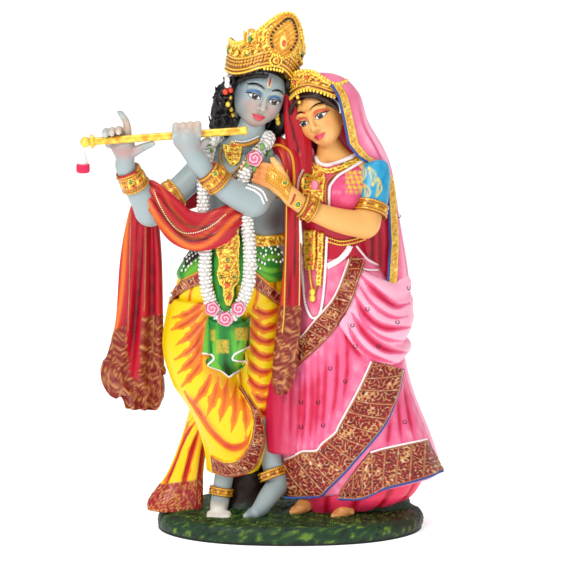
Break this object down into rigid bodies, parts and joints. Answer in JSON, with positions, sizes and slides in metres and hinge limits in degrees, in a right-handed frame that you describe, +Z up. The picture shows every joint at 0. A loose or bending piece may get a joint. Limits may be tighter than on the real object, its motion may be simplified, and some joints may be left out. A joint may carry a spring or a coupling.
{
  "type": "radha krishna statue",
  "caption": "Painted resin statue of a standing flute player in a tall crown and dhoti, with a veiled lady leaning on his shoulder, on an oval grass base.",
  "frame": {"origin": "centre of the base's underside", "axes": "+X to the viewer's right, +Y away from the viewer (the statue faces -Y), +Z up"},
  "size_m": [0.1835, 0.0798, 0.2637],
  "materials": {
    "resin_paint": "hand-painted cold-cast resin, satin varnish",
    "gold_paint": "antique gold paint",
    "yarn_paint": "white and pink painted yarn"
  },
  "bodies": {
    "root": {"statue": "resin_paint", "flute": "gold_paint", "flute_tassel": "yarn_paint"}
  },
  "joints": []
}
